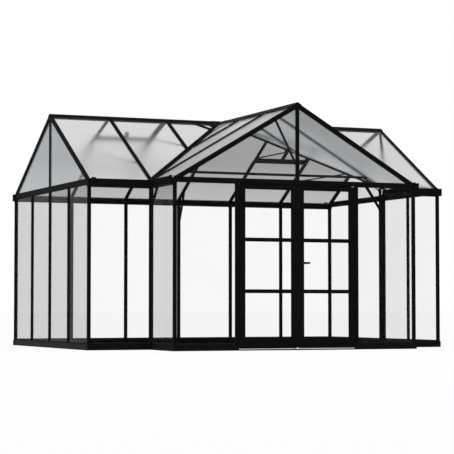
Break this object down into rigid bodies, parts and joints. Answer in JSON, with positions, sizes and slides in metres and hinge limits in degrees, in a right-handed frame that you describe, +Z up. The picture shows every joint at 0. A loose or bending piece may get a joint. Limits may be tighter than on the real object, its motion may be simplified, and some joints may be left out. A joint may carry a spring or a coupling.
{
  "type": "glass greenhouse",
  "caption": "Walk-in garden greenhouse with a T-shaped plan, slender black glazing bars, a cross-gabled frosted roof with valleys, roof vents and glazed double doors in the front wing.",
  "frame": {"origin": "centre of the bounding box's footprint, on the ground", "axes": "+X along the main ridge to the right, -Y out of the front doors, +Z up"},
  "size_m": [4.5, 3.824, 2.796],
  "materials": {
    "frame": "satin black powder coat",
    "clear_glass": "clear",
    "roof_glass": "frosted"
  },
  "bodies": {
    "greenhouse": {"back_base_rail": "frame", "side_base_rails": "frame", "front_base_rails": "frame", "door_threshold": "frame", "corner_posts": "frame", "wall_posts": "frame", "door_posts": "frame", "back_gutter": "frame", "front_gutters": "frame", "wing_gutters": "frame", "end_tie_beams": "frame", "door_header": "frame", "main_ridge": "frame", "wing_ridge": "frame", "ridge_joint_cover": "frame", "gable_rafters": "frame", "gable_mullions": "frame", "back_rafters": "frame", "front_rafters": "frame", "wing_rafters": "frame", "valley_channels": "frame", "collar_tie": "frame", "rafter_ties": "frame", "roof_braces": "frame", "vent_sills": "frame", "vent_sashes": "frame", "vent_panes": "roof_glass", "vent_stays": "frame", "back_wall_panes": "clear_glass", "end_wall_panes": "clear_glass", "front_wall_panes": "clear_glass", "gable_panes": "clear_glass", "back_roof_panes": "roof_glass", "front_roof_panes": "roof_glass", "wing_roof_panes": "roof_glass", "hinge_pins": "frame"},
    "left_door": {"left_door_stiles": "frame", "left_door_rails": "frame", "left_door_panes": "clear_glass", "left_door_hinges": "frame", "left_door_bolt": "frame"},
    "right_door": {"right_door_stiles": "frame", "right_door_rails": "frame", "right_door_panes": "clear_glass", "right_door_hinges": "frame", "handle_roses": "frame"},
    "lever": {"door_handle": "frame"}
  },
  "joints": [
    {"name": "left_door_swing", "type": "hinge", "parent": "greenhouse", "child": "left_door", "pos_m": [-0.719, -1.874, 0.94], "axis": [0, 0, -1], "range_deg": [0, 110]},
    {"name": "right_door_swing", "type": "hinge", "parent": "greenhouse", "child": "right_door", "pos_m": [0.719, -1.874, 0.94], "axis": [0, 0, 1], "range_deg": [0, 110]},
    {"name": "lever_turn", "type": "hinge", "parent": "right_door", "child": "lever", "pos_m": [0.039, -1.85, 0.976], "axis": [0, 1, 0], "range_deg": [0, 40], "stiffness_Nm_per_rad": 1, "springref_deg": -11.46}
  ]
}
